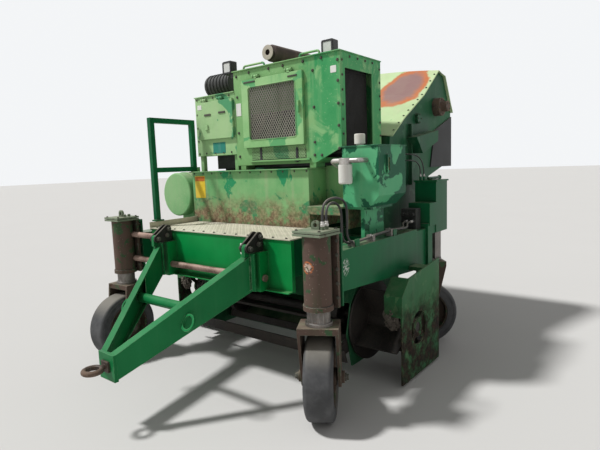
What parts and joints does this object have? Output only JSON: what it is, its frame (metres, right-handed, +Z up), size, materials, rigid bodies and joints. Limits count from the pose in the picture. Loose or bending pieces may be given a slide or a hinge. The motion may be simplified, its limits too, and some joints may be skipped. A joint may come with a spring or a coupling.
{
  "type": "windrow pickup elevator",
  "caption": "Towed windrow pickup elevator for asphalt paving: tongue, four caster legs, engine deck, and an inclined slat elevator under a curved hood.",
  "frame": {"origin": "on the ground, under the middle of the whole machine's box", "axes": "+Z up, the tow tongue points to -Y, the elevator's head to +Y, and +X is the machine's left side"},
  "size_m": [2.516, 3.66, 2.626],
  "materials": {
    "body_paint": "matte",
    "hood_paint": "matte",
    "frame_paint": "satin",
    "rusty_paint": "matte",
    "deck_plate": "matte",
    "bare_steel": "satin",
    "worn_steel": "matte",
    "cast_metal": "matte",
    "core_metal": "matte",
    "white_paint": "satin",
    "white_plastic": "matte",
    "lamp_shell": "satin",
    "black_rubber": "matte",
    "hose_rubber": "satin",
    "solid_tyre": "matte"
  },
  "bodies": {
    "root": {"air_cleaner": "body_paint", "arm_left": "frame_paint", "arm_right": "frame_paint", "breather_cap": "white_plastic", "control_cabinet": "body_paint", "cross_shafts": "bare_steel", "deck": "deck_plate", "discharge_curtain": "black_rubber", "elevator_hood": "hood_paint", "elevator_housing": "body_paint", "engine_block": "cast_metal", "filter_head": "bare_steel", "front_plate": "body_paint", "front_tank": "body_paint", "fuel_tank": "body_paint", "grab_rods": "body_paint", "handrail": "frame_paint", "head_shaft": "worn_steel", "hinge_knuckles": "frame_paint", "intake_blade": "worn_steel", "leg_column_front_left": "rusty_paint", "leg_column_front_right": "rusty_paint", "leg_hose_inner": "hose_rubber", "leg_hose_outer": "hose_rubber", "main_frame": "frame_paint", "muffler": "rusty_paint", "oil_filter": "white_paint", "oil_tank": "body_paint", "pickup_drum": "worn_steel", "radiator_core": "core_metal", "radiator_housing": "body_paint", "rear_hose_lower": "hose_rubber", "rear_hose_upper": "hose_rubber", "side_plate_left": "body_paint", "side_plate_right": "body_paint", "slat_chain": "worn_steel", "valve_bank": "cast_metal", "work_lamps": "lamp_shell"},
    "tongue_body": {"tongue": "body_paint", "tow_ring": "worn_steel"},
    "leg_front_left": {"leg_tube_front_left": "worn_steel"},
    "swivel_front_left": {"fork_front_left": "rusty_paint"},
    "rolling_front_left": {"wheel_front_left": "rusty_paint", "tyre_front_left": "solid_tyre"},
    "leg_front_right": {"leg_tube_front_right": "worn_steel"},
    "swivel_front_right": {"fork_front_right": "rusty_paint"},
    "rolling_front_right": {"wheel_front_right": "rusty_paint", "tyre_front_right": "solid_tyre"},
    "leg_rear_left": {"leg_tube_rear_left": "worn_steel"},
    "swivel_rear_left": {"fork_rear_left": "rusty_paint"},
    "rolling_rear_left": {"wheel_rear_left": "rusty_paint", "tyre_rear_left": "solid_tyre"},
    "leg_rear_right": {"leg_tube_rear_right": "worn_steel"},
    "swivel_rear_right": {"fork_rear_right": "rusty_paint"},
    "rolling_rear_right": {"wheel_rear_right": "rusty_paint", "tyre_rear_right": "solid_tyre"},
    "grille_door_body": {"grille_door": "body_paint"},
    "cabinet_door_body": {"cabinet_door": "body_paint"}
  },
  "joints": [
    {"name": "tongue_fold", "type": "hinge", "parent": "root", "child": "tongue_body", "pos_m": [0, -0.91, 1.072], "axis": [-1, 0, 0], "range_deg": [0, 75]},
    {"name": "leg_slide_front_left", "type": "slide", "parent": "root", "child": "leg_front_left", "axis": [0, 0, -1], "range_m": [0, 0.25]},
    {"name": "fork_swivel_front_left", "type": "hinge", "parent": "leg_front_left", "child": "swivel_front_left", "pos_m": [1.045, -0.86, 0.64], "axis": [0, 0, 1], "continuous": true},
    {"name": "wheel_spin_front_left", "type": "hinge", "parent": "swivel_front_left", "child": "rolling_front_left", "pos_m": [1.01, -0.79938, 0.275], "axis": [-0.866, -0.5, 0], "continuous": true},
    {"name": "leg_slide_front_right", "type": "slide", "parent": "root", "child": "leg_front_right", "axis": [0, 0, -1], "range_m": [0, 0.25]},
    {"name": "fork_swivel_front_right", "type": "hinge", "parent": "leg_front_right", "child": "swivel_front_right", "pos_m": [-1.045, -0.86, 0.64], "axis": [0, 0, 1], "continuous": true},
    {"name": "wheel_spin_front_right", "type": "hinge", "parent": "swivel_front_right", "child": "rolling_front_right", "pos_m": [-1.0389, -0.92973, 0.275], "axis": [0.9962, 0.0872, 0], "continuous": true},
    {"name": "leg_slide_rear_left", "type": "slide", "parent": "root", "child": "leg_rear_left", "axis": [0, 0, -1], "range_m": [0, 0.25]},
    {"name": "fork_swivel_rear_left", "type": "hinge", "parent": "leg_rear_left", "child": "swivel_rear_left", "pos_m": [1.03, 0.86, 0.74], "axis": [0, 0, 1], "continuous": true},
    {"name": "wheel_spin_rear_left", "type": "hinge", "parent": "swivel_rear_left", "child": "rolling_rear_left", "pos_m": [0.9756, 0.81595, 0.275], "axis": [0.6293, -0.7771, 0], "continuous": true},
    {"name": "leg_slide_rear_right", "type": "slide", "parent": "root", "child": "leg_rear_right", "axis": [0, 0, -1], "range_m": [0, 0.25]},
    {"name": "fork_swivel_rear_right", "type": "hinge", "parent": "leg_rear_right", "child": "swivel_rear_right", "pos_m": [-1.03, 0.86, 0.74], "axis": [0, 0, 1], "continuous": true},
    {"name": "wheel_spin_rear_right", "type": "hinge", "parent": "swivel_rear_right", "child": "rolling_rear_right", "pos_m": [-1.05394, 0.79422, 0.275], "axis": [0.9397, -0.342, 0], "continuous": true},
    {"name": "grille_door_hinge", "type": "hinge", "parent": "root", "child": "grille_door_body", "pos_m": [0.065, -0.1783, 2.342], "axis": [-1, 0, 0], "range_deg": [0, 100]},
    {"name": "cabinet_door_hinge", "type": "hinge", "parent": "root", "child": "cabinet_door_body", "pos_m": [-0.5795, -0.1743, 2.22], "axis": [-1, 0, 0], "range_deg": [0, 100]}
  ]
}
